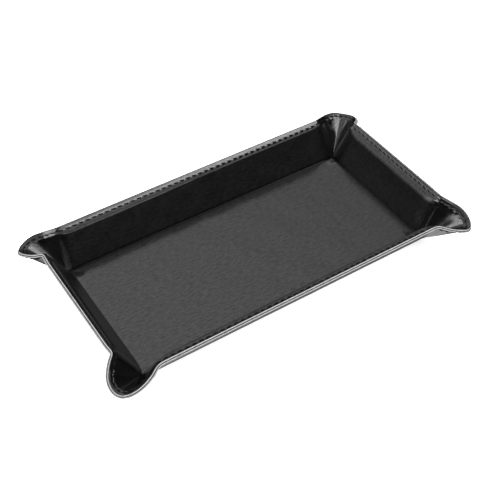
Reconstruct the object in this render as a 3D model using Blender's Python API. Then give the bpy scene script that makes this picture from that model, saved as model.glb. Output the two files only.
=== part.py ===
"""Folding dice tray, with its walls raised.

Two sheets of leather, an inner liner and an outer cover, are glued over stiff boards and
stitched together all round the rim. One board lies under the floor and one in each wall. The
leather between two neighbouring walls has no board: it bends outwards at both wall ends and
folds up on the diagonal of its corner, as an open ear.

Every panel is drawn in place on the flat sheet. It then hangs from an empty on its own crease,
and the empty's turn about local X is the fold: positive raises the panel, negative lowers it.
The origin is on the ground under the middle of the floor, X runs along the tray and Z is up.
"""

import math
from collections import namedtuple

import bmesh
import bpy
from mathutils import Euler, Vector

MM = 0.001

# Driving dimensions
FLOOR_LENGTH = 200.0 * MM      # inside floor, between the creases of the end walls
FLOOR_WIDTH = 92.4 * MM        # inside floor, between the creases of the side walls
SIDE_WALL = 29.2 * MM          # long walls, from crease to rim
END_WALL = 30.5 * MM           # short walls, from crease to rim
SIDE_FOLD = math.radians(56.3)
END_FOLD = math.radians(60.9)
BEND_LEAN = math.radians(6.0)  # lean of the ear's bend lines into the walls
CORNER_RADIUS = 20.5 * MM      # round corners of the flat sheet
LEATHER = 1.0 * MM
BOARD = 1.3 * MM
GLUE = 0.2 * MM                # glue line between two layers
MARGIN = 5.0 * MM              # stitched border with no board in it
CREASE_SETBACK = 2.0 * MM      # board's edge to a floor crease
BEND_SETBACK = 1.2 * MM        # board's edge to an ear's bend line
STEP_RUN = 1.0 * MM            # slope of the liner where it leaves the board
STITCH_INSET = 2.5 * MM        # row of stitches to the rim
THREAD_RADIUS = 0.3 * MM
THREAD_GAP = 0.15 * MM         # thread to leather
CREASE_GAP = 0.2 * MM          # between two panels' plies at a crease
OPEN_PIVOT_GAP = 0.5 * MM      # between an ear and an end wall, which no hinge joins
VERTEX_RELIEF = 3.0 * MM       # plies' corners cut back from the point where creases meet
ARC_STEPS = 12                 # straight lengths in one round corner

# Heights above the folding plane, which is the glue line between the two sheets
COVER_LEVELS = (-GLUE / 2 - LEATHER, -GLUE / 2)
BOARD_LEVELS = (GLUE / 2, GLUE / 2 + BOARD)
EAR_LINER_LEVELS = (GLUE / 2, GLUE / 2 + LEATHER)
LINER_LEVELS = (BOARD_LEVELS[1] + GLUE, BOARD_LEVELS[1] + GLUE + LEATHER)
FOLD_HEIGHT = -COVER_LEVELS[0]

# The floor creases lie outside the visible foot of each wall, by the thickness of liner and board
CREASE_X = FLOOR_LENGTH / 2 + LINER_LEVELS[1] * math.tan(END_FOLD / 2)
CREASE_Y = FLOOR_WIDTH / 2 + LINER_LEVELS[1] * math.tan(SIDE_FOLD / 2)
SHEET_X = CREASE_X + END_WALL
SHEET_Y = CREASE_Y + SIDE_WALL

CORNERS = {"back_right": (1, 1), "back_left": (-1, 1), "front_left": (-1, -1), "front_right": (1, -1)}
WALL_HEADINGS = {"right": 0.0, "back": math.pi / 2, "left": math.pi, "front": -math.pi / 2}

# A fold line on the flat sheet: heading is the way to its far side, fold is its turn when raised
Line = namedtuple("Line", "point heading fold")
# The fold lines of one ear: bend at the side wall, diagonal, and bend at the end wall
CornerLines = namedtuple("CornerLines", "side_bend diagonal end_bend")
# A panel: the empty it hangs from, its hinge, and its bounds. A bound is a line, the side of it
# that is kept and the least distance kept clear of it.
Panel = namedtuple("Panel", "empty hinge bounds")


def mirrored_heading(angle, corner):
    """Heading in one corner that matches an angle given for the back right corner."""
    return math.atan2(corner[1] * math.sin(angle), corner[0] * math.cos(angle))


def ear_folds():
    """Bend at a side wall, fold on the diagonal and bend at an end wall, as unsigned angles.

    All creases of a corner meet in one point, so their directions are points on a sphere. The
    bend lines a and b are fixed by the walls. The diagonal d keeps its flat angles to both.
    """
    lean_s, lean_c = math.sin(BEND_LEAN), math.cos(BEND_LEAN)
    side_up = Vector((0, math.cos(SIDE_FOLD), math.sin(SIDE_FOLD)))
    end_up = Vector((math.cos(END_FOLD), 0, math.sin(END_FOLD)))
    a = side_up * lean_c - Vector((lean_s, 0, 0))
    b = end_up * lean_c - Vector((0, lean_s, 0))
    middle = (a + b).normalized()
    outward = a.cross(b).normalized()
    half_ear = math.pi / 4 + BEND_LEAN
    rise = math.acos(math.cos(half_ear) / math.cos(a.angle(b) / 2))
    d = middle * math.cos(rise) + outward * math.sin(rise)

    def turn(axis, start, end):
        start = (start - axis * start.dot(axis)).normalized()
        end = (end - axis * end.dot(axis)).normalized()
        return start.angle(end)

    flat_d_from_side = Vector((1, 0, 0)) * math.cos(math.pi / 4) + side_up * math.sin(math.pi / 4)
    flat_d_from_end = Vector((0, 1, 0)) * math.cos(math.pi / 4) + end_up * math.sin(math.pi / 4)
    side_bend = turn(a, flat_d_from_side, d)
    end_bend = turn(b, flat_d_from_end, d)
    diagonal_fold = math.pi - turn(d, a, b)
    return side_bend, diagonal_fold, end_bend


SIDE_BEND, DIAGONAL_FOLD, END_BEND = ear_folds()


def clear_scene():
    for item in list(bpy.data.objects):
        bpy.data.objects.remove(item, do_unlink=True)


def make_collection(name):
    collection = bpy.data.collections.new(name)
    bpy.context.scene.collection.children.link(collection)
    return collection


def make_material(name, color, roughness, specular=0.5):
    material = bpy.data.materials.new(name)
    material.use_nodes = True
    shader = material.node_tree.nodes["Principled BSDF"]
    shader.inputs["Base Color"].default_value = (*color, 1.0)
    shader.inputs["Roughness"].default_value = roughness
    shader.inputs["Metallic"].default_value = 0.0
    shader.inputs["Specular IOR Level"].default_value = specular
    return material


clear_scene()
TRAY = make_collection("Folding dice tray")
CUTTERS = make_collection("Cutters")
INNER_LEATHER = make_material("inner leather", (0.020, 0.020, 0.021), 0.45)
OUTER_LEATHER = make_material("outer leather", (0.018, 0.018, 0.019), 0.5)
FIBREBOARD = make_material("fibreboard", (0.32, 0.27, 0.21), 0.9, specular=0.2)
THREAD = make_material("thread", (0.010, 0.010, 0.011), 0.6)


# Outlines on the flat sheet


def corner_arc(corner, inset):
    """Round corner of the sheet, from its long edge to its short edge."""
    radius = CORNER_RADIUS - inset
    centre = Vector((SHEET_X - CORNER_RADIUS, SHEET_Y - CORNER_RADIUS))
    points = []
    for step in range(ARC_STEPS + 1):
        angle = math.pi / 2 * (1 - step / ARC_STEPS)
        point = centre + Vector((math.cos(angle), math.sin(angle))) * radius
        points.append(Vector((corner[0] * point.x, corner[1] * point.y)))
    return points


def sheet_outline(inset):
    """The whole sheet, shrunk by inset, with its corners taken clockwise."""
    points = []
    for name in ("back_right", "front_right", "front_left", "back_left"):
        arc = corner_arc(CORNERS[name], inset)
        points += arc if name in ("back_right", "front_left") else arc[::-1]
    return points


def clip(points, line, side, inset, closed=True):
    """The part of a convex outline or path on one side of a line, at least inset away from it."""
    normal = Vector((math.cos(line.heading), math.sin(line.heading))) * side
    depths = [(point - line.point).dot(normal) - inset for point in points]
    kept = []
    for index, point in enumerate(points):
        if depths[index] >= 0:
            kept.append(point)
        following = (index + 1) % len(points)
        if following == 0 and not closed:
            break
        if (depths[index] >= 0) != (depths[following] >= 0):
            share = depths[index] / (depths[index] - depths[following])
            kept.append(point.lerp(points[following], share))
    return kept


def fold_inset(line, levels):
    """How far a layer stays back from a crease so that it can fold there."""
    slope = math.tan(line.fold / 2)
    return max(0.0, levels[0] * slope, levels[1] * slope) + CREASE_GAP


def cut_to_panel(points, panel, levels, relief=True, closed=True):
    for line, side, least in panel.bounds:
        if line.fold is None:
            if relief:
                points = clip(points, line, side, least, closed)
        else:
            points = clip(points, line, side, max(least, fold_inset(line, levels)), closed)
    return points


def to_local(points, hinge):
    """From the flat sheet to a panel's own axes: Y leaves the crease, X runs along it."""
    along = Vector((math.sin(hinge.heading), -math.cos(hinge.heading)))
    away = Vector((math.cos(hinge.heading), math.sin(hinge.heading)))
    offsets = [point - hinge.point for point in points]
    return [Vector((offset.dot(along), offset.dot(away))) for offset in offsets]


# Solids


def add_curve(name, curve, points, cyclic, collection, material, parent):
    spline = curve.splines.new("POLY")
    spline.points.add(len(points) - 1)
    for spot, point in zip(spline.points, points):
        spot.co = (*point, 1.0)
    spline.use_cyclic_u = cyclic
    curve.materials.append(material)
    item = bpy.data.objects.new(name, curve)
    item.parent = parent
    collection.objects.link(item)
    return item


def flat_shape(name, outline, thickness, collection, material, parent):
    curve = bpy.data.curves.new(name, "CURVE")
    curve.dimensions = "2D"
    curve.fill_mode = "BOTH"
    curve.extrude = thickness / 2
    points = [(point.x, point.y, 0.0) for point in outline]
    return add_curve(name, curve, points, True, collection, material, parent)


def plate(name, outline, levels, panel, material, collection=TRAY):
    local = to_local(outline, panel.hinge)
    item = flat_shape(name, local, levels[1] - levels[0], collection, material, panel.empty)
    item.location.z = (levels[0] + levels[1]) / 2
    return item


def thread_run(name, path, height, panel):
    curve = bpy.data.curves.new(name, "CURVE")
    curve.dimensions = "3D"
    curve.fill_mode = "FULL"
    curve.bevel_depth = THREAD_RADIUS
    curve.bevel_resolution = 2
    curve.use_fill_caps = True
    points = [(point.x, point.y, height) for point in to_local(path, panel.hinge)]
    return add_curve(name, curve, points, False, TRAY, THREAD, panel.empty)


def curve_to_mesh(item):
    """The same solid as a welded mesh, which a Boolean can use."""
    bpy.context.view_layer.update()
    depsgraph = bpy.context.evaluated_depsgraph_get()
    mesh = bpy.data.meshes.new_from_object(item.evaluated_get(depsgraph))
    solid = bmesh.new()
    solid.from_mesh(mesh)
    bmesh.ops.remove_doubles(solid, verts=solid.verts, dist=0.001 * MM)
    bmesh.ops.recalc_face_normals(solid, faces=solid.faces)
    solid.to_mesh(mesh)
    solid.free()
    name, parent, collection = item.name, item.parent, item.users_collection[0]
    location, rotation = item.location.copy(), item.rotation_euler.copy()
    bpy.data.objects.remove(item, do_unlink=True)
    result = bpy.data.objects.new(name, mesh)
    result.parent = parent
    result.location = location
    result.rotation_euler = rotation
    collection.objects.link(result)
    return result


def stepped_liner(name, panel, wall_width, half_length):
    """Wall liner: it lies on the board, then steps down to the cover for the stitched margin."""
    low, high = EAR_LINER_LEVELS[0], LINER_LEVELS[0]
    step_foot = wall_width - MARGIN + STEP_RUN
    step_top = wall_width - MARGIN
    under = [(0.0, high), (step_top, high), (step_foot, low), (wall_width, low)]
    over = [(y, z + LEATHER) for y, z in reversed(under)]
    profile = [Vector(point) for point in under + over]
    item = flat_shape(name, profile, 2 * half_length, TRAY, INNER_LEATHER, panel.empty)
    item.rotation_euler = Euler((math.pi / 2, 0.0, math.pi / 2))
    item = curve_to_mesh(item)

    outline = cut_to_panel(sheet_outline(0.0), panel, LINER_LEVELS)
    depth = (-LEATHER, LINER_LEVELS[1] + LEATHER)
    cutter = plate("cut_" + name, outline, depth, panel, INNER_LEATHER, CUTTERS)
    cutter = curve_to_mesh(cutter)
    cutter.hide_render = True
    cutter.display_type = "WIRE"
    trim = item.modifiers.new("trim to outline", "BOOLEAN")
    trim.operation = "INTERSECT"
    trim.object = cutter
    return item


# Panels


def add_empty(name, hinge, parent_panel):
    """An empty on a crease. It is placed in the parent panel's axes and turned by the fold."""
    empty = bpy.data.objects.new(name, None)
    empty.empty_display_size = 10 * MM
    TRAY.objects.link(empty)
    spot = to_local([hinge.point], parent_panel.hinge)[0]
    empty.parent = parent_panel.empty
    empty.location = (spot.x, spot.y, 0.0)
    empty.rotation_euler = (hinge.fold, 0.0, hinge.heading - parent_panel.hinge.heading)
    return empty


def crease_line(heading):
    reach = Vector((CREASE_X * round(math.cos(heading)), CREASE_Y * round(math.sin(heading))))
    is_end = abs(math.cos(heading)) > 0.5
    return Line(reach, heading, END_FOLD if is_end else SIDE_FOLD)


def corner_lines(corner):
    """The fold lines of one ear, each facing away from the side wall."""
    vertex = Vector((corner[0] * CREASE_X, corner[1] * CREASE_Y))
    return CornerLines(
        side_bend=Line(vertex, mirrored_heading(BEND_LEAN, corner), -SIDE_BEND),
        diagonal=Line(vertex, mirrored_heading(-math.pi / 4, corner), DIAGONAL_FOLD),
        end_bend=Line(vertex, mirrored_heading(-math.pi / 2 - BEND_LEAN, corner), -END_BEND),
    )


def relief_line(corner, angle):
    """Cuts a panel's tip near the corner's vertex; it has no fold of its own."""
    vertex = Vector((corner[0] * CREASE_X, corner[1] * CREASE_Y))
    return Line(vertex, mirrored_heading(angle, corner), None)


def make_panels():
    root = bpy.data.objects.new("floor_frame", None)
    root.location.z = FOLD_HEIGHT
    TRAY.objects.link(root)
    creases = {name: crease_line(heading) for name, heading in WALL_HEADINGS.items()}
    floor_bounds = [(line, -1, 0.0) for line in creases.values()]
    floor = Panel(root, Line(Vector((0, 0)), math.pi / 2, 0.0), floor_bounds)
    panels = {"floor": floor}

    for wall, crease in creases.items():
        bounds = [(crease, 1, 0.0)]
        for name, corner in CORNERS.items():
            if wall not in name.split("_"):
                continue
            lines = corner_lines(corner)
            if wall in ("back", "front"):
                bounds.append((lines.side_bend, -1, 0.0))
                bounds.append((relief_line(corner, 0.75 * math.pi), 1, VERTEX_RELIEF))
            else:
                bounds.append((lines.end_bend, 1, OPEN_PIVOT_GAP))
                bounds.append((relief_line(corner, -math.pi / 4), 1, VERTEX_RELIEF))
        panels[wall] = Panel(add_empty("hinge_" + wall, crease, floor), crease, bounds)

    for name, corner in CORNERS.items():
        lines = corner_lines(corner)
        relief = (relief_line(corner, math.pi / 4), 1, VERTEX_RELIEF)
        side_name, end_name = "ear_" + name + "_side", "ear_" + name + "_end"
        side_wall = panels[name.split("_")[0]]
        empty = add_empty("hinge_" + side_name, lines.side_bend, side_wall)
        bounds = [(lines.side_bend, 1, 0.0), (lines.diagonal, -1, 0.0), relief]
        panels[side_name] = Panel(empty, lines.side_bend, bounds)
        empty = add_empty("hinge_" + end_name, lines.diagonal, panels[side_name])
        bounds = [(lines.diagonal, 1, 0.0), (lines.end_bend, -1, 0.0), relief]
        panels[end_name] = Panel(empty, lines.diagonal, bounds)
    return panels


# Pieces


def build_floor(panel):
    cover = cut_to_panel(sheet_outline(0.0), panel, COVER_LEVELS)
    plate("cover_floor", cover, COVER_LEVELS, panel, OUTER_LEATHER)
    liner = cut_to_panel(sheet_outline(0.0), panel, LINER_LEVELS)
    plate("liner_floor", liner, LINER_LEVELS, panel, INNER_LEATHER)
    bounds = [(line, side, CREASE_SETBACK) for line, side, _ in panel.bounds]
    set_back = panel._replace(bounds=bounds)
    board = cut_to_panel(sheet_outline(0.0), set_back, BOARD_LEVELS)
    plate("base_board", board, BOARD_LEVELS, panel, FIBREBOARD)


def build_wall(name, panel):
    is_end = name in ("left", "right")
    wall_width = END_WALL if is_end else SIDE_WALL
    half_length = SHEET_Y if is_end else SHEET_X
    cover = cut_to_panel(sheet_outline(0.0), panel, COVER_LEVELS)
    plate("cover_" + name, cover, COVER_LEVELS, panel, OUTER_LEATHER)
    stepped_liner("liner_" + name, panel, wall_width, half_length)

    bounds = [(line, side, BEND_SETBACK) for line, side, _ in panel.bounds[1:] if line.fold]
    reliefs = [bound for bound in panel.bounds if bound[0].fold is None]
    set_back = panel._replace(bounds=[(panel.hinge, 1, CREASE_SETBACK)] + bounds + reliefs)
    board = cut_to_panel(sheet_outline(MARGIN), set_back, BOARD_LEVELS)
    plate("board_" + name, board, BOARD_LEVELS, panel, FIBREBOARD)

    reach = Vector((math.cos(panel.hinge.heading), math.sin(panel.hinge.heading)))
    across = Vector((-reach.y, reach.x))
    row = panel.hinge.point + reach * (wall_width - STITCH_INSET)
    build_threads(name, panel, [row - across * half_length, row + across * half_length])


def build_ear_half(name, panel, corner):
    cover = cut_to_panel(sheet_outline(0.0), panel, COVER_LEVELS)
    plate("cover_" + name, cover, COVER_LEVELS, panel, OUTER_LEATHER)
    liner = cut_to_panel(sheet_outline(0.0), panel, EAR_LINER_LEVELS)
    plate("liner_" + name, liner, EAR_LINER_LEVELS, panel, INNER_LEATHER)
    start = Vector((0.0, corner[1] * (SHEET_Y - STITCH_INSET)))
    end = Vector((corner[0] * (SHEET_X - STITCH_INSET), 0.0))
    build_threads(name, panel, [start] + corner_arc(corner, STITCH_INSET) + [end])


def build_threads(name, panel, path):
    """Needle thread on the liner and bobbin thread on the cover, along one panel's stretch of seam."""
    offset = THREAD_GAP + THREAD_RADIUS
    sides = (("needle_thread_", EAR_LINER_LEVELS[1], 1), ("bobbin_thread_", COVER_LEVELS[0], -1))
    for kind, surface, way in sides:
        levels = sorted((surface, surface + way * (offset + THREAD_RADIUS)))
        run = cut_to_panel(path, panel, levels, relief=False, closed=False)
        thread_run(kind + name, run, surface + way * offset, panel)


def build_tray():
    panels = make_panels()
    build_floor(panels["floor"])
    for wall in WALL_HEADINGS:
        build_wall(wall, panels[wall])
    for name, corner in CORNERS.items():
        for half in ("_side", "_end"):
            build_ear_half("ear_" + name + half, panels["ear_" + name + half], corner)


build_tray()
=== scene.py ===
import math

import bpy
import numpy as np
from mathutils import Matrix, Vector


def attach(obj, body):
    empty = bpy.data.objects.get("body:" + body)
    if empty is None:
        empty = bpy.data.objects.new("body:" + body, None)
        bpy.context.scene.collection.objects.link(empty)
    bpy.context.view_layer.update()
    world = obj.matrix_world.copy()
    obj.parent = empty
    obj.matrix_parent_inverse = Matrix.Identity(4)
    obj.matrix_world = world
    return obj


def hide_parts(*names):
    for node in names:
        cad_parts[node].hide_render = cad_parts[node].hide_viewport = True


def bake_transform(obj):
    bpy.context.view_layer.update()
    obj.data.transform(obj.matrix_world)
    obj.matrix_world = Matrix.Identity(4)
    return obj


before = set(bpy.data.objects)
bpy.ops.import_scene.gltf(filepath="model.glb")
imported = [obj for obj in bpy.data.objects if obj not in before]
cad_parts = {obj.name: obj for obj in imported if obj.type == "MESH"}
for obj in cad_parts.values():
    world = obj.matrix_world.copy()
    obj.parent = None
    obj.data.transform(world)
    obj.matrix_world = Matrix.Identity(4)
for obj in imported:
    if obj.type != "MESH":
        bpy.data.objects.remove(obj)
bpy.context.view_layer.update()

# The tray is one flat sheet folded up. Every visible surface is drawn on the flat sheet, in
# millimetres, as (x, y, height above the folding plane), and fold_up() puts it in place.

MM = 0.001                # millimetres in metres

# Dimensions of part.py, in millimetres
CREASE_X = 101.528
CREASE_Y = 47.591
SIDE_WALL = 29.2
END_WALL = 30.5
SIDE_FOLD = math.radians(56.3)
END_FOLD = math.radians(60.9)
BEND_LEAN = math.radians(6.0)
CORNER_RADIUS = 20.5
FOLD_HEIGHT = 1.1
PLY = 1.0
GLUE = 0.2
HALF_GLUE = 0.1
STITCH_INSET = 2.5
MARGIN = 5.0
BEND_SETBACK = 1.2
CREASE_SETBACK = 2.0
SHEET_X = CREASE_X + END_WALL
SHEET_Y = CREASE_Y + SIDE_WALL
ARC_X = SHEET_X - CORNER_RADIUS
ARC_Y = SHEET_Y - CORNER_RADIUS

CORNERS = {
    "back_right": (1, 1),
    "back_left": (-1, 1),
    "front_left": (-1, -1),
    "front_right": (1, -1),
}
SIDE_WALLS = ("back", "front")
END_WALLS = ("left", "right")

# Shape of the leather
BOARD_RISE = 1.5          # the liner climbs this much onto the boards
SIDE_STEP = (2.9, 4.2)    # where it climbs at a long wall, from the rim
END_STEP = (3.0, 8.5)     # and at an end wall, where it slopes gently
CREASE_SINK = 0.22        # the liner sinks between two boards
BOARD_SKIVED = 0.15       # a board's least thickness, where it is skived under the liner
EDGE_PRESSED = 0.06       # how much thinner the cut edge is pressed
# Irregular waves of the liner: their height, their length and the seed of their random headings
CREASE_WAVES = (0.05, 7.0, 11)
FLOOR_WAVES = (0.05, 34.0, 3)
WALL_WAVES = (0.06, 17.0, 5)
WRINKLE = 0.08            # height of the folds in an ear
PUCKER = 0.20             # and of the puffs between its needle holes
# Height and half width of the seam's groove, its holes and the rolls on both sides of it
GROOVE = (-0.03, 0.6)
HOLE = (-0.10, 0.45)
ROLL = (0.015, 0.5)
ROLL_PLACE = 1.1          # a roll's distance from the row of stitches
# An ear's cross section is part of an ellipse: half its turn, its lean to one side and its slack
EAR_SHAPES = {
    "back_right": (math.radians(103.0), 0.11, 1.0),
    "back_left": (math.radians(96.5), 0.016, 1.0),
    "front_left": (math.radians(97.0), 0.09, 0.98),
    "front_right": (math.radians(84.0), -0.09, 1.0),
}
CREASE_ROUND = 1.8        # half width of a rounded floor crease
BEND_ROUND = (5.6, 2.2)   # and of an ear's bend at a long wall and at an end wall
# How far the stitched margin leans out, in degrees, and how far inside the straight wall the
# leather stands just below it, for each wall and for the ears
FLARE = {
    "back": (24.0, 1.4),
    "front": (22.0, 1.4),
    "left": (7.0, 0.0),
    "right": (18.0, 0.7),
    "ear": (16.0, 1.0),
}
FLARE_INSET = 0.4         # the margin stays straight this far from its inner edge
FLARE_ROUND = 1.0         # and then takes about this far to reach its full lean
STRIP = (-8.0, 6.0)       # the fold between a long wall and an ear, in degrees from the bend line


def smooth(a, b, x):
    t = np.clip((np.asarray(x, float) - a) / (b - a), 0.0, 1.0)
    return t * t * (3 - 2 * t)


def unit(v):
    v = np.asarray(v, float)
    return v / np.linalg.norm(v, axis=-1, keepdims=True)


# Folds round a corner: directions from the corner point, by flat angle from the side wall's own
# heading. A and B are the raised bend lines, and an ear's cone stands on the axes between them.

SIDE_S, SIDE_C = math.sin(SIDE_FOLD), math.cos(SIDE_FOLD)
END_S, END_C = math.sin(END_FOLD), math.cos(END_FOLD)
LEAN_S, LEAN_C = math.sin(BEND_LEAN), math.cos(BEND_LEAN)
BEND_A = np.array([-LEAN_S, LEAN_C * SIDE_C, LEAN_C * SIDE_S])
BEND_B = np.array([LEAN_C * END_C, -LEAN_S, LEAN_C * END_S])
EAR_ANGLE = math.pi / 2 + 2 * BEND_LEAN
HALF_SPAN = math.acos(BEND_A @ BEND_B) / 2
MIDDLE, ACROSS = unit(BEND_A + BEND_B), unit(BEND_B - BEND_A)
OUTWARD = np.cross(ACROSS, MIDDLE)
OUTWARD = OUTWARD * -np.sign(OUTWARD[2])


def ear_curve(corner):
    """Directions along an ear's open cone, and the flat angle of each from the first bend line."""
    half_turn, skew, slack = EAR_SHAPES[corner]
    psi = np.linspace(-half_turn, half_turn, 4001)
    low, high = 0.02, 1.5
    for _ in range(40):
        depth = (low + high) / 2
        out = depth * (np.cos(psi) - math.cos(half_turn))
        along = HALF_SPAN * np.sin(psi) / math.sin(half_turn) + skew * out
        d = (np.cos(out) * np.cos(along))[:, None] * MIDDLE
        d = d + (np.cos(out) * np.sin(along))[:, None] * ACROSS + np.sin(out)[:, None] * OUTWARD
        step = np.arccos(np.clip((d[1:] * d[:-1]).sum(1), -1, 1))
        length = np.concatenate([[0], np.cumsum(step)])
        low, high = (depth, high) if length[-1] < EAR_ANGLE * slack else (low, depth)
    return d, length / length[-1] * EAR_ANGLE


TURN = 3600               # steps in one turn
ANGLES = np.arange(TURN) * 2 * math.pi / TURN - math.pi


def corner_table(corner):
    """Direction, normal and wall shares for each flat angle phi.

    0 points up the side wall and 90 degrees up the end wall.
    """
    phi = ANGLES
    floor = np.stack([np.sin(phi), np.cos(phi), 0 * phi], 1)
    side = np.stack([np.sin(phi), np.cos(phi) * SIDE_C, np.cos(phi) * SIDE_S], 1)
    end = np.stack([np.sin(phi) * END_C, np.cos(phi), np.sin(phi) * END_S], 1)
    curve, at = ear_curve(corner)
    ear = np.stack([np.interp(phi + BEND_LEAN, at, curve[:, i]) for i in range(3)], 1)
    slope = np.gradient(curve, at, axis=0)
    turn = np.cross(slope, curve)
    ear_up = np.stack([np.interp(phi + BEND_LEAN, at, turn[:, i]) for i in range(3)], 1)
    in_side = (phi >= -math.pi / 2) & (phi < -BEND_LEAN)
    in_ear = (phi >= -BEND_LEAN) & (phi < math.pi / 2 + BEND_LEAN)
    in_end = phi >= math.pi / 2 + BEND_LEAN
    d, n = floor.copy(), np.tile([0.0, 0.0, 1.0], (TURN, 1))
    d[in_side], n[in_side] = side[in_side], [0, -SIDE_S, SIDE_C]
    d[in_end], n[in_end] = end[in_end], [-END_S, 0, END_C]
    d[in_ear], n[in_ear] = unit(ear[in_ear]), unit(ear_up[in_ear])
    return np.concatenate([d, n, in_side[:, None], in_end[:, None]], 1)


WIDTHS = np.geomspace(math.radians(0.5), math.radians(170), 60)


def rounded_tables(corner):
    """corner_table smoothed over each of the widths."""
    table = np.fft.rfft(corner_table(corner), axis=0)
    wrapped = np.minimum(np.arange(TURN), TURN - np.arange(TURN)) * 2 * math.pi / TURN
    out = []
    for width in WIDTHS:
        kernel = np.where(wrapped < width, 1 + np.cos(np.pi * wrapped / width), 0.0)
        kernel = np.fft.rfft(kernel / kernel.sum())
        out.append(np.fft.irfft(table * kernel[:, None], TURN, axis=0))
    return np.array(out)


TABLES = np.array([rounded_tables(corner) for corner in CORNERS])
MEAN_UP = TABLES[:, -1].mean(1)[:, 3:6]


def corner_number(x, y):
    """Place in CORNERS of the corner that a point of the sheet is nearest to."""
    return np.where(y >= 0, np.where(x >= 0, 0, 1), np.where(x >= 0, 3, 2))


def look_up(corner, rho, phi):
    """Rounded row of corner_table at a distance and flat angle from the corner point.

    Near the ear the rounding is a bend's, and towards the floor it is a crease's.
    """
    bend = BEND_ROUND[0] + (BEND_ROUND[1] - BEND_ROUND[0]) * smooth(0.2, 1.4, phi)
    in_walls = smooth(-1.4, -0.5, phi) * smooth(3.0, 2.1, phi)
    size = CREASE_ROUND + (bend - CREASE_ROUND) * in_walls
    width = np.clip(size / np.maximum(rho, 1e-6), WIDTHS[0], WIDTHS[-1])
    level = np.log(width / WIDTHS[0]) / math.log(WIDTHS[-1] / WIDTHS[0]) * (len(WIDTHS) - 1)
    i = np.clip(level.astype(int), 0, len(WIDTHS) - 2)
    s = (level - i)[..., None]
    place = (phi + math.pi) / (2 * math.pi) * TURN
    j = np.floor(place).astype(int)
    t = (place - j)[..., None]
    j0, j1 = j % TURN, (j + 1) % TURN
    low = TABLES[corner, i, j0] * (1 - t) + TABLES[corner, i, j1] * t
    high = TABLES[corner, i + 1, j0] * (1 - t) + TABLES[corner, i + 1, j1] * t
    return low * (1 - s) + high * s


def polar(x, y):
    u, w = np.abs(x) - CREASE_X, np.abs(y) - CREASE_Y
    return np.hypot(u, w), np.arctan2(u, w)


def fold_up(x, y, n):
    """A point of the flat sheet, in its place on the raised tray, n above the folding plane."""
    x, y, n = np.broadcast_arrays(*(np.asarray(v, float) for v in (x, y, n)))
    rho, phi = polar(x, y)
    corner = corner_number(x, y)
    found = look_up(corner, rho, phi)
    d, up = found[..., :3], found[..., 3:6]
    near = smooth(0.0, 2.5, rho)[..., None]
    up = up * near + MEAN_UP[corner] * (1 - near)
    p = rho[..., None] * d + n[..., None] * up
    p = p + np.array([CREASE_X, CREASE_Y, FOLD_HEIGHT])
    p[..., 0] *= np.where(x < 0, -1, 1)
    p[..., 1] *= np.where(y < 0, -1, 1)
    return p


# The seam round the rim, and heights of the four leather surfaces

QUARTER = ARC_X + (CORNER_RADIUS - STITCH_INSET) * math.pi / 2 + ARC_Y
STITCHES = 174
PITCH = 4 * QUARTER / STITCHES


def rim_distance(x, y):
    dx, dy = np.abs(x) - ARC_X, np.abs(y) - ARC_Y
    outside = np.hypot(np.maximum(dx, 0), np.maximum(dy, 0)) + np.minimum(np.maximum(dx, dy), 0)
    return CORNER_RADIUS - outside


def seam_place(x, y):
    """Length along the row of stitches, clockwise from the middle of the back."""
    ax, ay = np.abs(x), np.abs(y)
    turn = np.arctan2(np.maximum(ax - ARC_X, 1e-9), np.maximum(ay - ARC_Y, 1e-9))
    radius = CORNER_RADIUS - STITCH_INSET
    corner = ARC_X + radius * turn
    s = np.where(ax - CREASE_X < ay - CREASE_Y, ax, ARC_X + radius * math.pi / 2 + ARC_Y - ay)
    s = np.where((ax > ARC_X) & (ay > ARC_Y), corner, s)
    back, right = y >= 0, x >= 0
    s = np.where(back & ~right, 4 * QUARTER - s, s)
    s = np.where(~back & right, 2 * QUARTER - s, s)
    return np.where(~back & ~right, 2 * QUARTER + s, s)


def ear_share(x, y):
    """Distance into an ear past the nearer of its bend lines, negative in a wall."""
    u, w = np.abs(x) - CREASE_X, np.abs(y) - CREASE_Y
    return np.minimum(u * LEAN_C + w * LEAN_S, u * LEAN_S + w * LEAN_C)


def ripple(x, y, height, size, seed):
    """Gentle irregular waves."""
    waves = np.random.default_rng(seed)
    total = 0
    for _ in range(7):
        heading, phase = waves.uniform(0, 2 * math.pi, 2)
        k = 2 * math.pi / size * waves.uniform(0.7, 1.5)
        total = total + np.sin(k * (x * math.cos(heading) + y * math.sin(heading)) + phase)
    return height * (total / 4.0)


def end_share(x, y):
    """0 at a long wall, 1 at an end wall."""
    return smooth(-1.0, 1.0, (np.abs(x) - CREASE_X) - (np.abs(y) - CREASE_Y))


def shared(x, y, part):
    """A number of FLARE at each point, going smoothly from one wall or ear to the next."""
    end = FLARE["left"][part] + (FLARE["right"][part] - FLARE["left"][part]) * (x > 0)
    side = FLARE["front"][part] + (FLARE["back"][part] - FLARE["front"][part]) * (y > 0)
    wall = side + (end - side) * end_share(x, y)
    return wall + (FLARE["ear"][part] - wall) * smooth(-9.0, 3.0, ear_share(x, y))


def flare(x, y):
    """The stitched margin has no board in it and leans out from a slightly steeper wall."""
    u, w = np.abs(x) - CREASE_X, np.abs(y) - CREASE_Y
    up = np.where(ear_share(x, y) > 0, np.hypot(u, w), np.maximum(u, w)) / (SIDE_WALL - MARGIN)
    steeper = shared(x, y, 1) * np.clip(up, 0.0, 1.2) * smooth(0.0, 0.12, up)
    reach = np.maximum(MARGIN - FLARE_INSET - rim_distance(x, y), 0)
    lean = np.tan(np.radians(shared(x, y, 0)))
    return steeper - lean * reach ** 2 / (reach + FLARE_ROUND)


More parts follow.
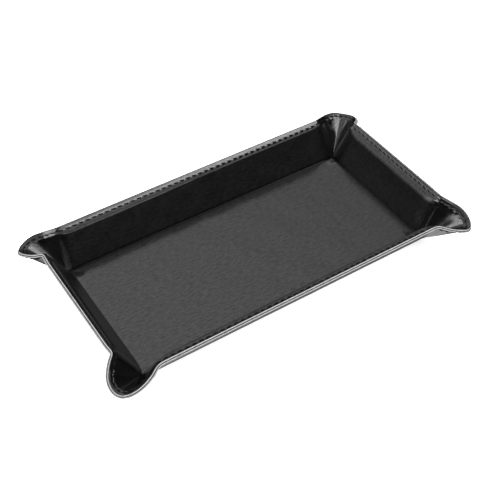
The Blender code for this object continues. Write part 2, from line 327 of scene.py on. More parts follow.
def climb(x, y):
    """Share of the liner's climb from the margin onto a wall's board.

    It is steep at a long wall, and gentler towards the left end of the back wall.
    """
    e, at_end = rim_distance(x, y), end_share(x, y)
    spread = 1.4 * smooth(30.0, -60.0, x) * (y > 0)
    side = smooth(SIDE_STEP[0], SIDE_STEP[1] + spread, e)
    slope = np.clip((e - END_STEP[0]) / (END_STEP[1] - END_STEP[0]), 0, 1)
    end = (1 - (1 - slope) ** 2) * smooth(0.0, 0.25, slope)
    return side * (1 - at_end) + end * at_end


def pressed(x, y):
    """The cut edge is pressed and burnished thinner."""
    return EDGE_PRESSED * (1 - smooth(0.0, 1.6, rim_distance(x, y)))


def liner_top(x, y, detail=True):
    """The whole inside face. Without detail it is the plain level that the layers below follow."""
    e, m = rim_distance(x, y), ear_share(x, y)
    u, w = np.abs(x) - CREASE_X, np.abs(y) - CREASE_Y
    on_board = climb(x, y) * (1 - smooth(-10.0, 2.5, m))
    past_crease = np.maximum(u, w)
    n = HALF_GLUE + PLY + BOARD_RISE * on_board - pressed(x, y)
    gap = np.minimum(np.abs(u), np.abs(w))
    gap = np.where((u > 0.0) & (w > 0.0), 9.0, gap)
    n = n - CREASE_SINK * (1 - smooth(0.4, 3.2, gap)) * on_board
    if detail:
        n = n + seam_relief(x, y, 1.0) + puckers(x, y) + wrinkles(x, y)
        at_crease = np.exp(-((past_crease - 0.5) / 2.2) ** 2) * (m < 0)
        n = n + ripple(x, y, *CREASE_WAVES) * at_crease
        on_floor = smooth(0.0, 9.0, -past_crease - 4.0)
        n = n + ripple(x, y, *FLOOR_WAVES) * on_floor
        on_wall = smooth(3.0, 9.0, past_crease) * smooth(6.0, 10.0, e) * smooth(0.0, 8.0, -m)
        n = n + ripple(x, y, *WALL_WAVES) * on_wall
    return n + flare(x, y)


def cover_bottom(x, y):
    """The whole outside face."""
    n = -HALF_GLUE - PLY + pressed(x, y)
    n = n - seam_relief(x, y, 0.8) - 0.6 * puckers(x, y) + wrinkles(x, y)
    return n + flare(x, y)


def liner_bottom(x, y):
    return np.maximum(liner_top(x, y, False) - PLY, HALF_GLUE + flare(x, y)) + wrinkles(x, y)


def cover_top(x, y):
    return -HALF_GLUE + flare(x, y) + wrinkles(x, y)


def board_top(x, y):
    """The board is skived thin towards the bends, under the liner."""
    skived = HALF_GLUE + BOARD_SKIVED + flare(x, y)
    return np.maximum(liner_top(x, y, False) - PLY - GLUE, skived)


def board_bottom(x, y):
    return HALF_GLUE + flare(x, y)


def seam_relief(x, y, depth):
    """The thread presses a groove into the leather and pulls it down at each hole."""
    q = rim_distance(x, y) - STITCH_INSET
    s = seam_place(x, y) / PITCH
    near = np.abs(s - np.round(s)) * PITCH
    groove = GROOVE[0] * np.exp(-(q / GROOVE[1]) ** 2)
    hole = HOLE[0] * np.exp(-(q ** 2 + near ** 2) / HOLE[1] ** 2)
    rolls = ROLL[0] * np.exp(-((np.abs(q) - ROLL_PLACE) / ROLL[1]) ** 2)
    return depth * (groove + hole + rolls)


def puckers(x, y):
    """Between two holes the leather of an ear puffs up inside the seam."""
    q = rim_distance(x, y) - STITCH_INSET
    s = seam_place(x, y) / PITCH
    amount = smooth(-3.0, 3.0, ear_share(x, y)) * (0.75 + 0.25 * np.sin(s * 2.4))
    puff = np.exp(-((q - 1.5) / 0.9) ** 2) * (0.5 - 0.5 * np.cos(2 * math.pi * s))
    return PUCKER * amount * puff


def wrinkles(x, y):
    """Slack leather in the ears, in folds that run out from the corner point."""
    rho, phi = polar(x, y)
    amount = smooth(-1.0, 5.0, ear_share(x, y)) * smooth(6.0, 15.0, rho)
    amount = amount * (1 - 0.5 * smooth(24.0, 34.0, rho))
    phase = np.sign(x) + 2.3 * np.sign(y)
    fold = np.sin(phi * 9.0 + phase) * 0.5 + np.sin(phi * 17.0 - rho * 0.09 + 2 * phase) * 0.3
    return WRINKLE * amount * fold


# Turning of an ear between its two bodies, chosen so that the ear lies flat when the tray does

TURN_START = 8.0          # degrees over which an ear's turning starts, from the strip's end
TURN_MIDDLE = (9.0, 20.0)  # degrees each side of the diagonal where the turning is evened out


def ear_turn_table(corner):
    """Flat angles from the first bend line, and the second body's share of a point at each."""
    rise = math.acos(math.cos(math.pi / 4 + BEND_LEAN) / math.cos(HALF_SPAN))
    diagonal = MIDDLE * math.cos(rise) + OUTWARD * math.sin(rise)

    def axes(first, second):
        first = unit(first)
        second = unit(second - first * (first @ second))
        return np.stack([first, second, np.cross(first, second)])

    flat_a, flat_b = np.array([-LEAN_S, LEAN_C, 0]), np.array([LEAN_C, -LEAN_S, 0])
    flat_d = unit([1.0, 1.0, 0.0])
    to_side = axes(diagonal, BEND_A).T @ axes(flat_d, flat_a)
    curve, at = ear_curve(corner)
    target = np.stack([np.sin(at - BEND_LEAN), np.cos(at - BEND_LEAN), 0 * at], 1) @ to_side.T
    e1 = unit(np.cross(diagonal, [0.3, 0.2, 0.9]))
    e2 = np.cross(diagonal, e1)

    def azimuth(v):
        return np.arctan2(v @ e2, v @ e1)

    def turned(a, b):
        return (b - a + math.pi) % (2 * math.pi) - math.pi

    whole = turned(azimuth(BEND_B), azimuth(flat_b @ to_side.T))
    share = turned(azimuth(curve), azimuth(target)) / whole
    near, far = np.radians(TURN_MIDDLE)
    off_middle = at - EAR_ANGLE / 2
    steady = smooth(near, far, np.abs(off_middle))
    plain = smooth(-far, far, off_middle)
    share = np.where(np.abs(off_middle) > near, share, 0) * steady + plain * (1 - steady)
    start = smooth(math.radians(STRIP[1]), math.radians(STRIP[1] + TURN_START), at)
    return at, np.clip(share, 0, 1) * start


TURN_TABLES = {corner: ear_turn_table(corner) for corner in CORNERS}


def alpha_of(x, y):
    """Flat angle from an ear's first bend line."""
    return polar(x, y)[1] + BEND_LEAN


# Grids on the flat sheet

FLOOR_ROWS = [-4.0, -2.9, -2.2, -1.7, -1.3, -0.95, -0.6, -0.3]        # from a crease, inwards
INNER_ROWS = [0.0, 0.3, 0.6, 0.95, 1.35, 1.8, 2.4, 3.3, 4.8, 7.0]     # from a crease, outwards
MIDDLE_ROWS = 3
OUTER_ROWS = [13.0, 10.5, 8.7, 7.4, 6.3, 5.5, 5.0, 4.6, 4.2, 3.8, 3.4, 3.05, 2.75, 2.5,
              2.25, 1.95, 1.55, 1.1, 0.65, 0.3]                       # in from the rim
# Rows of the cut edge: distance in from the rim, and share of the way from skin to back
EDGE_ROWS = [(0.10, 0.02), (0.0, 0.12), (0.0, 0.46), (0.0, 0.80), (0.08, 0.98)]
COLUMN = 0.75             # width of a column
FAN_REACH = 33.0          # distance from the corner point where an ear's columns are that wide


def reach_at(phi, inset):
    """Distance from the corner point to the outline shrunk by inset, along a flat angle."""
    dx, dy = np.sin(phi), np.cos(phi)
    w, u, r = SIDE_WALL - inset, END_WALL - inset, CORNER_RADIUS - inset
    ax, ay = u - r, w - r
    with np.errstate(divide="ignore"):
        straight = np.minimum(np.where(dy > 1e-9, w / dy, 1e9), np.where(dx > 1e-9, u / dx, 1e9))
    b = dx * ax + dy * ay
    round_reach = b + np.sqrt(np.maximum(b * b - (ax * ax + ay * ay - r * r), 0))
    rounded = (straight * dx > ax) & (straight * dy > ay)
    return np.where(rounded, round_reach, straight)


def spread_rows(inner, outer):
    steps = np.linspace(0, 1, MIDDLE_ROWS + 2)[1:-1]
    middle = [inner[-1] + (outer[0] - inner[-1]) * t for t in steps]
    return np.array(list(inner) + middle + list(outer))


def fan_grid(corner, start, stop):
    """Rows and columns round a corner point, between two angles from the first bend line."""
    count = max(6, int(round(math.radians(stop - start) * FAN_REACH / COLUMN)))
    phi = np.radians(np.linspace(start, stop, count + 1)) - BEND_LEAN
    rows = []
    for angle in phi:
        stretch = 1.0
        if angle < 0:
            stretch = 1 / math.cos(angle)
        elif angle > math.pi / 2:
            stretch = 1 / math.sin(angle)
        inner = [w * stretch for w in INNER_ROWS]
        outer = [float(reach_at(angle, e)) for e in OUTER_ROWS]
        edge = [float(reach_at(angle, e)) for e, _ in EDGE_ROWS]
        rows.append(np.concatenate([spread_rows(inner, outer), edge]))
    rho = np.array(rows).T
    x = corner[0] * (CREASE_X + rho * np.sin(phi))
    y = corner[1] * (CREASE_Y + rho * np.cos(phi))
    return x, y


def placed(wall, out, along):
    """Points of a wall on the sheet, by their distances out from its crease and along it."""
    out = out + 0 * along
    sign = 1 if wall in ("right", "back") else -1
    if wall in END_WALLS:
        return sign * (CREASE_X + out), along
    return along, sign * (CREASE_Y + out)


def wall_grid(wall):
    """Rows and columns of one wall, with a strip of floor inside its crease."""
    at_end = wall in END_WALLS
    half, width = (CREASE_Y, END_WALL) if at_end else (CREASE_X, SIDE_WALL)
    lean = BEND_LEAN if at_end else BEND_LEAN - math.radians(STRIP[0])
    out = spread_rows(INNER_ROWS, [width - e for e in OUTER_ROWS])
    out = np.concatenate([FLOOR_ROWS, out, [width - e for e, _ in EDGE_ROWS]])
    count = int(round(2 * half / COLUMN))
    span = half - np.where(out > 0, out * math.tan(lean), -out)
    return placed(wall, out[:, None], span[:, None] * np.linspace(-1, 1, count + 1))


def floor_grid():
    x = np.linspace(-(CREASE_X + FLOOR_ROWS[0]), CREASE_X + FLOOR_ROWS[0], 99)
    y = np.linspace(-(CREASE_Y + FLOOR_ROWS[0]), CREASE_Y + FLOOR_ROWS[0], 45)
    return np.meshgrid(x, y)


# Meshes

UV_SCALE, UV_SHIFT = 0.01, 2.0
# Kinds of face, which are also places in a list of materials
SKIN, BACK, CORE = 0, 1, 2
RIM_KINDS = [SKIN, SKIN, CORE, CORE, BACK, BACK]
SMOOTH_SHELL = math.radians(50)
SMOOTH_THREAD = math.radians(70)


def new_object(name, data):
    item = bpy.data.objects.new(name, data)
    bpy.context.scene.collection.objects.link(item)
    return item


def set_flat_map(mesh, flat):
    """The flat sheet as UVs, one pair for each face corner."""
    layer = mesh.uv_layers.new(name="flat")
    layer.data.foreach_set("uv", (flat * UV_SCALE + UV_SHIFT).astype(np.float32).ravel())


def surface_normals(x, y, level):
    h = 0.03
    px = fold_up(x + h, y, level(x + h, y)) - fold_up(x - h, y, level(x - h, y))
    py = fold_up(x, y + h, level(x, y + h)) - fold_up(x, y - h, level(x, y - h))
    n = np.cross(px, py)
    length = np.linalg.norm(n, axis=-1, keepdims=True)
    return n / np.maximum(length, 1e-12)


def wear_of(x, y):
    """Where hands and folds rub the finish: the rim and the ears' bend lines."""
    e, m = rim_distance(x, y), ear_share(x, y)
    u, w = np.abs(x) - CREASE_X, np.abs(y) - CREASE_Y
    rim = np.exp(-(e / 0.5) ** 2)
    bend = np.exp(-((m + 0.5) / 0.9) ** 2) * smooth(2.0, 8.0, np.hypot(u, w))
    return np.clip(rim + 0.8 * bend * (np.maximum(u, w) > 0), 0, 1)


def matt_of(x, y):
    """Where the leather lies flat over a wall's board, and has no pull on it to make it shine."""
    u, w = np.abs(x) - CREASE_X, np.abs(y) - CREASE_Y
    on_board = climb(x, y) * (1 - smooth(-8.0, 0.0, ear_share(x, y)))
    return on_board * smooth(0.0, 3.0, np.maximum(u, w))


# Each layer's skin, back and the side its skin is on
LINER = (liner_top, liner_bottom, 1)
COVER = (cover_bottom, cover_top, -1)
BOARD = (board_top, board_bottom, 1)


def make_shell(name, grid, ply, materials, rim=True):
    """One panel of a ply, as a thin closed shell: skin, cut edge, back and the cut ends."""
    x, y = grid
    cols = x.shape[1]
    rows = x.shape[0] - (len(EDGE_ROWS) if rim else 0)
    skin_level, back_level, side = ply
    skin = np.stack([x[:rows], y[:rows], skin_level(x[:rows], y[:rows])], -1)
    back = np.stack([x[:rows], y[:rows], back_level(x[:rows], y[:rows])], -1)
    rings, kinds = [skin], [SKIN] * (rows - 1)
    if rim:
        edge_x, edge_y = x[rows:], y[rows:]
        outer, inner = skin_level(edge_x, edge_y), back_level(edge_x, edge_y)
        share = np.array([share for _, share in EDGE_ROWS])[:, None]
        rings.append(np.stack([edge_x, edge_y, outer + (inner - outer) * share], -1))
    kinds += RIM_KINDS if rim else [BACK]
    rings.append(back[::-1])
    kinds += [BACK] * rows
    loop = np.concatenate(rings)
    points = fold_up(loop[..., 0], loop[..., 1], loop[..., 2]).reshape(-1, 3)
    flat = loop[..., :2].reshape(-1, 2)
    faces, face_kinds = shell_faces(rows, cols, kinds, rim)
    normals = surface_normals(loop[..., 0], loop[..., 1], skin_level).reshape(-1, 3) * side
    middle = (rows // 2) * cols + cols // 2
    a, b, c = points[middle], points[middle + 1], points[middle + cols]
    if np.cross(b - a, c - a) @ normals[middle] < 0:
        faces = [face[::-1] for face in faces]
    item, first = shell_object(name, points, faces, face_kinds, flat, normals, materials)
    return item, flat[first]


def shell_faces(rows, cols, kinds, rim):
    """Faces between the rings of a shell, which close in a loop, and across its two cut ends."""
    count = len(kinds)
    faces, face_kinds = [], []
    for i in range(count):
        a, b = i * cols, (i + 1) % count * cols
        faces += [(a + j, a + j + 1, b + j + 1, b + j) for j in range(cols - 1)]
        face_kinds += [kinds[i]] * (cols - 1)
    for j in (0, cols - 1):
        ends = []
        for i in range(rows - 1):
            ring = (i, i + 1, count - 2 - i, count - 1 - i)
            ends.append(tuple(k * cols + j for k in ring))
        if rim:
            ends.append(tuple(k * cols + j for k in range(rows - 1, rows + len(EDGE_ROWS) + 1)))
        faces += ends if j == 0 else [face[::-1] for face in ends]
        face_kinds += [BACK] * len(ends)
    return faces, face_kinds


def shell_object(name, points, faces, kinds, flat, normals, materials):
    """The shell as an object, with the flat sheet as its UVs, and exact normals on its skin."""
    rounded = np.round(points, 5)
    _, first, inverse = np.unique(rounded, axis=0, return_index=True, return_inverse=True)
    inverse = inverse.reshape(-1)
    kept, kept_kinds, loops = [], [], []
    for face, kind in zip(faces, kinds):
        own = inverse[list(face)].tolist()
        chosen = [i for i in range(len(own)) if own[i] != own[i - 1]]
        if len({own[i] for i in chosen}) >= 3:
            kept.append([own[i] for i in chosen])
            loops += [face[i] for i in chosen]
            kept_kinds.append(kind)
    mesh = bpy.data.meshes.new(name)
    mesh.from_pydata((points[first] * MM).tolist(), [], kept)
    for material in materials:
        mesh.materials.append(material)
    mesh.polygons.foreach_set("material_index", kept_kinds)
    mesh.polygons.foreach_set("use_smooth", [True] * len(kept))
    set_flat_map(mesh, flat[loops])
    for label, values in (("wear", wear_of(*flat[first].T)), ("matt", matt_of(*flat[first].T))):
        attribute = mesh.attributes.new(label, "FLOAT", "POINT")
        attribute.data.foreach_set("value", values.astype(np.float32))
    mesh.set_sharp_from_angle(angle=SMOOTH_SHELL)
    sizes = np.array([len(face) for face in kept])
    on_skin = np.repeat(np.array(kept_kinds) == SKIN, sizes) & (rim_distance(*flat[loops].T) > 0.2)
    exact = np.where(on_skin[:, None], normals[loops], 0.0)
    mesh.normals_split_custom_set(exact.tolist())
    return new_object(name, mesh), first


def set_weights(item):
    """Bakes the piece's transform into its mesh."""
    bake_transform(item)


# Materials


class Nodes:
    """Short forms for building a material's nodes."""

    def __init__(self, name):
        self.material = bpy.data.materials.new(name)
        self.material.use_nodes = True
        self.tree = self.material.node_tree
        self.shader = self.tree.nodes["Principled BSDF"]

    def add(self, kind, inputs=None, **settings):
        node = self.tree.nodes.new(kind)
        for key, value in settings.items():
            setattr(node, key, value)
        for key, value in (inputs or {}).items():
            if isinstance(value, bpy.types.NodeSocket):
                self.tree.links.new(value, node.inputs[key])
            else:
                node.inputs[key].default_value = value
        return node

    def link(self, socket, name):
        self.tree.links.new(socket, self.shader.inputs[name])

    def set(self, name, value):
        self.shader.inputs[name].default_value = value

    def remap(self, socket, low, high, to_low, to_high):
        node = self.add("ShaderNodeMapRange", {"Value": socket, "From Min": low, "From Max": high,
                                               "To Min": to_low, "To Max": to_high})
        return node.outputs["Result"]

    def math(self, kind, a, b):
        return self.add("ShaderNodeMath", {0: a, 1: b}, operation=kind).outputs[0]

    def noise(self, vector, scale, detail, roughness=0.5):
        return self.add("ShaderNodeTexNoise", {"Vector": vector, "Scale": scale, "Detail": detail,
                                               "Roughness": roughness}).outputs[0]

    def bump(self, height, strength, distance):
        node = self.add("ShaderNodeBump", {"Height": height, "Strength": strength,
                                           "Distance": distance})
        self.link(node.outputs[0], "Normal")

    def flat_map(self):
        return self.add("ShaderNodeUVMap", uv_map="flat").outputs[0]

    def mix(self, share, a, b):
        """A blend of two colours, whose sockets have the same names as those of other kinds."""
        node = self.add("ShaderNodeMix", data_type="RGBA")
        for value, socket in ((share, node.inputs[0]), (a, node.inputs[6]), (b, node.inputs[7])):
            if isinstance(value, bpy.types.NodeSocket):
                self.tree.links.new(value, socket)
            else:
                socket.default_value = value
        return node.outputs[2]


def grey(value):
    return (value, value, value, 1.0)


def leather_material(name, base, roughness, seed):
    """Smooth dyed leather: fine pebbled grain, streaks, rubbed places and dull flat walls."""
    n = Nodes(name)
    at = n.add("ShaderNodeMapping", {"Vector": n.flat_map(), "Location": (seed, seed * 1.7, 0.0)})
    at = at.outputs[0]
    cloud = n.noise(at, 6.0, 5.0, 0.6)
    cells = n.add("ShaderNodeTexVoronoi", {"Vector": at, "Scale": 120.0, "Randomness": 1.0},
                  feature="DISTANCE_TO_EDGE").outputs[0]
    fine = n.noise(at, 110.0, 4.0, 0.6)
    streak_at = n.add("ShaderNodeMapping", {"Vector": at, "Scale": (26.0, 80.0, 1.0)}).outputs[0]
    streak = n.noise(streak_at, 1.0, 3.0)
    wear = n.add("ShaderNodeAttribute", attribute_name="wear").outputs["Fac"]
    matt = n.add("ShaderNodeAttribute", attribute_name="matt").outputs["Fac"]

    worn = n.math("MULTIPLY", wear, n.remap(fine, 0.35, 0.65, 0.2, 1.0))
    shade = n.mix(cloud, grey(base * 0.8), grey(base * 1.2))
    shade = n.mix(n.math("MULTIPLY", worn, 0.35), shade, grey(base * 4.0))
    n.link(shade, "Base Color")

    rough = n.remap(cloud, 0.3, 0.7, roughness - 0.03, roughness + 0.02)
    rough = n.math("ADD", rough, n.remap(streak, 0.3, 0.7, -0.02, 0.02))
    rough = n.math("ADD", rough, n.math("MULTIPLY", matt, 0.15))
    n.link(rough, "Roughness")

    grain = n.math("ADD", n.math("MULTIPLY", streak, 0.5), n.math("MULTIPLY", fine, 0.5))
    shine = n.math("MULTIPLY", n.remap(grain, 0.40, 0.60, 0.36, 0.64),
                   n.remap(matt, 0.0, 1.0, 1.0, 0.5))
    n.link(shine, "Specular IOR Level")

    pebble = n.remap(cells, 0.0, 0.25, 0.0, 1.0)
    height = n.math("ADD", n.math("MULTIPLY", pebble, 0.5), n.math("MULTIPLY", fine, 0.8))
    height = n.math("ADD", height, n.math("MULTIPLY", streak, 0.8))
    n.bump(height, 0.35, 0.00002)
    return n.material


def fibre_material(name, low, high, roughness):
    """Cut or unfinished leather, between two shades."""
    n = Nodes(name)
    at = n.flat_map()
    fibres, patches = n.noise(at, 420.0, 4.0, 0.7), n.noise(at, 40.0, 3.0)
    share = n.math("ADD", n.math("MULTIPLY", n.remap(fibres, 0.3, 0.7, 0.0, 1.0), 0.6),
                   n.math("MULTIPLY", n.remap(patches, 0.3, 0.7, 0.0, 1.0), 0.4))
    n.link(n.mix(share, grey(low), grey(high)), "Base Color")
    n.link(n.remap(fibres, 0.3, 0.7, roughness - 0.06, roughness + 0.06), "Roughness")
    n.bump(fibres, 0.5, 0.00008)
    n.set("Specular IOR Level", 0.3)
    return n.material


def thread_material():
    n = Nodes("waxed_thread")
    at = n.flat_map()
    strands, patches = n.noise(at, 300.0, 4.0, 0.7), n.noise(at, 25.0, 2.0)
    n.link(n.mix(patches, grey(0.002), grey(0.005)), "Base Color")
    n.link(n.remap(strands, 0.3, 0.7, 0.38, 0.56), "Roughness")
    n.bump(strands, 0.5, 0.00005)
    n.set("Specular IOR Level", 0.06)
    return n.material


def board_material():
    n = Nodes("fibreboard")
    at = n.add("ShaderNodeTexCoord").outputs["Object"]
    fibres, patches = n.noise(at, 900.0, 5.0, 0.7), n.noise(at, 90.0, 3.0)
    shade = n.mix(patches, (0.27, 0.225, 0.17, 1.0), (0.36, 0.31, 0.245, 1.0))
    shade = n.mix(n.remap(fibres, 0.45, 0.7, 0.0, 0.4), shade, (0.16, 0.13, 0.10, 1.0))
    n.link(shade, "Base Color")
    n.link(n.remap(fibres, 0.3, 0.7, 0.82, 0.95), "Roughness")
    n.bump(fibres, 0.6, 0.0001)
    n.set("Specular IOR Level", 0.2)
    return n.material


INNER_LEATHER = leather_material("inner_leather", 0.0014, 0.16, 0.0)
OUTER_LEATHER = leather_material("outer_leather", 0.0014, 0.18, 3.1)
BACKING = fibre_material("leather_backing", 0.012, 0.03, 0.9)
LINER_EDGE = fibre_material("liner_edge", 0.17, 0.34, 0.8)
COVER_EDGE = fibre_material("cover_edge", 0.15, 0.32, 0.8)
WAXED_THREAD = thread_material()
FIBREBOARD = board_material()


# Leather


def build_leather(kind, old, ply, materials):
    """One sheet by its panels: floor, four walls, and an ear and a bend strip at each corner."""
    grid = floor_grid()
    item, _ = make_shell(kind + "floor", grid, ply, materials, rim=False)
    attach(item, "floor")
    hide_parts(old + "floor")
    for wall in SIDE_WALLS + END_WALLS:
        grid = wall_grid(wall)
        item, flat = make_shell(kind + wall, grid, ply, materials)
        set_weights(item)
        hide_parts(old + wall)
    for name, corner in CORNERS.items():
        ear = "ear_" + name
        strip, flat = make_shell(kind + "bend_" + name, fan_grid(corner, *STRIP), ply, materials)
        set_weights(strip)
        grid = fan_grid(corner, STRIP[1], math.degrees(EAR_ANGLE))
        item, flat = make_shell(kind + ear, grid, ply, materials)
        set_weights(item)
        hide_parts(old + ear + "_side", old + ear + "_end")


def board_grid(wall):
    """The board of one wall stops short of the crease, the seam and both bends."""
    half, width = (CREASE_Y, END_WALL) if wall in END_WALLS else (CREASE_X, SIDE_WALL)
    out = np.linspace(CREASE_SETBACK, width - MARGIN, 18)[:, None]
    span = half - out * math.tan(BEND_LEAN) - BEND_SETBACK / LEAN_C
    return placed(wall, out, span * np.linspace(-1, 1, int(half)))


def build_boards():
    for wall in SIDE_WALLS + END_WALLS:
        grid = board_grid(wall)
        item, _ = make_shell("wall_board_" + wall, grid, BOARD, [FIBREBOARD] * 3, rim=False)
        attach(item, "wall_" + wall)
        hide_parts("board_" + wall)


# Stitches

THREAD_RADIUS = 0.38
THREAD_SIDES = 8
THREAD_STEPS = 11
STITCH_START = 0.16       # where a stitch starts and how long it is, as shares of the pitch
STITCH_LENGTH = 0.68
STITCH_SLANT = 0.22       # its ends are this much to either side of the row
STITCH_LIFT = 0.20        # its middle's height above the leather
STITCH_DIP = 0.80         # how much lower its ends are
TWIST = 9.0               # turning of the two strands along one stitch, in radians
STRAND = 0.16             # swell of the two strands, as a share of the radius


def seam_point(s):
    """The row of stitches on the flat sheet: a point and the way out to the rim."""
    s = np.asarray(s, float) % (4 * QUARTER)
    lap = np.floor(s / QUARTER)
    t = np.where(lap % 2 == 0, s - lap * QUARTER, (lap + 1) * QUARTER - s)
    radius = CORNER_RADIUS - STITCH_INSET
    arc = radius * math.pi / 2
    turn = np.clip(t - ARC_X, 0, arc) / radius
    x = np.minimum(t, ARC_X) + radius * np.sin(turn)
    y = ARC_Y + radius * np.cos(turn) - np.maximum(t - ARC_X - arc, 0)
    out_x, out_y = np.sin(turn), np.cos(turn)
    sx = np.where(lap < 2, 1, -1)
    sy = np.where((lap == 0) | (lap == 3), 1, -1)
    return x * sx, y * sy, out_x * sx, out_y * sy


def stitch_mesh(name, numbers, is_needle):
    """Separate stitches of two-ply thread, each sunk into its holes at both ends."""
    t = np.linspace(0, 1, THREAD_STEPS)
    angle = np.arange(THREAD_SIDES) * 2 * math.pi / THREAD_SIDES
    points, faces, flat, centre = [], [], [], []
    side = 1 if is_needle else -1
    level = liner_top if is_needle else cover_bottom
    for number in numbers:
        s = (number + STITCH_START + STITCH_LENGTH * t) * PITCH
        x, y, out_x, out_y = seam_point(s)
        aside = side * STITCH_SLANT * (1 - 2 * t)
        lift = STITCH_LIFT - STITCH_DIP * np.abs(2 * t - 1) ** 4
        base = level(x, y)
        thread_x, thread_y = x + out_x * aside, y + out_y * aside
        core = fold_up(thread_x, thread_y, base + side * lift)
        up = unit(fold_up(thread_x, thread_y, base + side * (lift + 0.5)) - core)
        along = unit(np.gradient(core, axis=0))
        across = unit(np.cross(along, up))
        up = np.cross(across, along)
        twist = t[:, None] * TWIST + number
        radius = THREAD_RADIUS * (1 + STRAND * np.cos(2 * (angle[None, :] - twist)))
        ring = core[:, None] + radius[..., None] * (np.cos(angle)[None, :, None] * across[:, None]
                                                    + np.sin(angle)[None, :, None] * up[:, None])
        first = len(points) * THREAD_STEPS * THREAD_SIDES
        last = first + (THREAD_STEPS - 1) * THREAD_SIDES
        points.append(ring.reshape(-1, 3))
        round_thread = np.tile(angle * THREAD_RADIUS, THREAD_STEPS)
        flat.append(np.stack([np.repeat(s, THREAD_SIDES), round_thread], 1))
        centre.append(np.stack([np.repeat(x, THREAD_SIDES), np.repeat(y, THREAD_SIDES)], 1))
        for a in range(first, last, THREAD_SIDES):
            b = a + THREAD_SIDES
            for j in range(THREAD_SIDES):
                k = (j + 1) % THREAD_SIDES
                faces.append((a + j, a + k, b + k, b + j))
        faces.append(tuple(first + j for j in range(THREAD_SIDES))[::-1])
        faces.append(tuple(last + j for j in range(THREAD_SIDES)))
    points, flat, centre = np.concatenate(points), np.concatenate(flat), np.concatenate(centre)
    mesh = bpy.data.meshes.new(name)
    mesh.from_pydata((points * MM).tolist(), [], faces)
    mesh.materials.append(WAXED_THREAD)
    mesh.polygons.foreach_set("use_smooth", [True] * len(faces))
    order = np.empty(len(mesh.loops), int)
    mesh.loops.foreach_get("vertex_index", order)
    set_flat_map(mesh, flat[order])
    mesh.set_sharp_from_angle(angle=SMOOTH_THREAD)
    item = new_object(name, mesh)
    return item, centre


def stitch_groups():
    """Numbers of the stitches in each panel of the leather."""
    groups = {}
    for number in range(STITCHES):
        x, y, _, _ = seam_point((number + 0.5) * PITCH)
        alpha = math.degrees(float(alpha_of(x, y)))
        side, end = "back" if y > 0 else "front", "right" if x > 0 else "left"
        if alpha < STRIP[0]:
            key = side
        elif alpha < STRIP[1]:
            key = "bend_" + side + "_" + end
        elif alpha < math.degrees(EAR_ANGLE):
            key = "ear_" + side + "_" + end
        else:
            key = end
        groups.setdefault(key, []).append(number)
    return groups


def build_stitches():
    groups = stitch_groups()
    kinds = {"needle_stitches_": "needle_thread_", "bobbin_stitches_": "bobbin_thread_"}
    for kind, old in kinds.items():
        for key, numbers in groups.items():
            item, centre = stitch_mesh(kind + key, numbers, kind.startswith("needle"))
            if key.startswith("bend_"):
                set_weights(item)
            elif key.startswith("ear_"):
                set_weights(item)
                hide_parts(old + key + "_side", old + key + "_end")
            else:
                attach(item, "wall_" + key)
                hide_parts(old + key)


build_leather("inner_liner_", "liner_", LINER,
              [INNER_LEATHER, BACKING, LINER_EDGE])
build_leather("outer_cover_", "cover_", COVER,
              [OUTER_LEATHER, BACKING, COVER_EDGE])
build_boards()
build_stitches()
base_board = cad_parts["base_board"]
base_board.data.materials.clear()
base_board.data.materials.append(FIBREBOARD)


# Studio, in metres

FLOOR_REACH = 40.0        # from the middle to the studio floor's edge
FLOOR_LEVEL = -0.0002     # just clear of the tray's underside
CAMERA_AZIMUTH = math.radians(-33.1)
CAMERA_ELEVATION = math.radians(45.14)
CAMERA_TARGET = Vector((0.00407, 0.00379, 0.0))
CAMERA_DISTANCE = 0.61386
CAMERA_LENS = 69.47       # millimetres, on a sensor 36 mm wide
# The world's brightness from straight below, 0, to straight above, 1
DOME = [(0.0, 1.5), (0.06, 1.1), (0.12, 0.12), (0.18, 0.05), (0.25, 0.2),
        (0.32, 0.03), (0.45, 0.1), (0.56, 0.02), (0.66, 0.02), (0.72, 0.25),
        (0.78, 0.85), (0.86, 1.3), (0.925, 0.95), (0.96, 1.45), (1.0, 1.8)]
DOME_UP = (0.0, 0.35, 1.0)   # the dome leans back, so that its bright top is also behind the tray


def add_stage():
    mesh = bpy.data.meshes.new("studio_floor")
    signs = ((-1, -1), (1, -1), (1, 1), (-1, 1))
    corners = [(sx * FLOOR_REACH, sy * FLOOR_REACH, FLOOR_LEVEL) for sx, sy in signs]
    mesh.from_pydata(corners, [], [(0, 1, 2, 3)])
    item = new_object("studio_floor", mesh)
    n = Nodes("pale_floor")
    n.set("Base Color", (0.9, 0.9, 0.9, 1.0))
    n.set("Roughness", 0.9)
    n.set("Specular IOR Level", 0.1)
    n.set("Emission Color", (1.0, 1.0, 1.0, 1.0))
    n.set("Emission Strength", 0.6)
    mesh.materials.append(n.material)
    item.visible_glossy = False


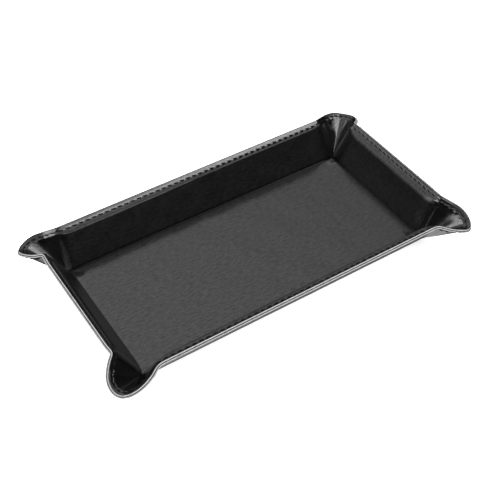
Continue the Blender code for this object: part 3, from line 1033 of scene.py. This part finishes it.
def add_softbox(name, place, size, power):
    """A rectangular light that faces the tray's middle."""
    light = bpy.data.lights.new(name, "AREA")
    light.shape = "RECTANGLE"
    light.size, light.size_y = size
    light.energy = power
    item = new_object(name, light)
    item.location = place
    item.rotation_euler = Vector(place).to_track_quat("Z", "Y").to_euler()


def add_world():
    """A soft dome, bright overhead and behind and dark towards the horizon.

    Its bright bottom stands for the studio floor in reflections, which don't see the floor.
    """
    world = bpy.data.worlds.new("studio")
    world.use_nodes = True
    bpy.context.scene.world = world
    tree = world.node_tree
    coord = tree.nodes.new("ShaderNodeTexCoord")
    height = tree.nodes.new("ShaderNodeVectorMath")
    height.operation = "DOT_PRODUCT"
    height.inputs[1].default_value = DOME_UP
    half = tree.nodes.new("ShaderNodeMapRange")
    half.inputs["From Min"].default_value = -1.0
    ramp = tree.nodes.new("ShaderNodeValToRGB")
    tree.links.new(coord.outputs["Generated"], height.inputs[0])
    tree.links.new(height.outputs["Value"], half.inputs["Value"])
    tree.links.new(half.outputs["Result"], ramp.inputs[0])
    tree.links.new(ramp.outputs[0], tree.nodes["Background"].inputs[0])
    while len(ramp.color_ramp.elements) < len(DOME):
        ramp.color_ramp.elements.new(0.5)
    for element, (place, value) in zip(ramp.color_ramp.elements, DOME):
        element.position = place
        element.color = grey(value)


def add_camera():
    camera = bpy.data.cameras.new("camera")
    camera.sensor_width = 36.0
    camera.lens = CAMERA_LENS
    camera.clip_start = 0.01
    item = new_object("camera", camera)
    flat = math.cos(CAMERA_ELEVATION)
    back = Vector((math.sin(CAMERA_AZIMUTH) * flat, -math.cos(CAMERA_AZIMUTH) * flat,
                   math.sin(CAMERA_ELEVATION)))
    item.location = CAMERA_TARGET + back * CAMERA_DISTANCE
    item.rotation_euler = back.to_track_quat("Z", "Y").to_euler()
    bpy.context.scene.camera = item


add_stage()
add_world()
add_softbox("key", (0.597, -0.538, 0.958), (1.11, 0.62), 8.6)
add_softbox("front_fill", (0.42, -0.72, 1.06), (2.04, 0.94), 17.0)
add_softbox("back", (-0.75, 0.85, 0.66), (0.95, 0.45), 2.0)
add_softbox("side", (-0.99, 0.0, 0.67), (0.95, 0.50), 9.5)
add_camera()
bpy.context.scene.view_settings.view_transform = "Standard"
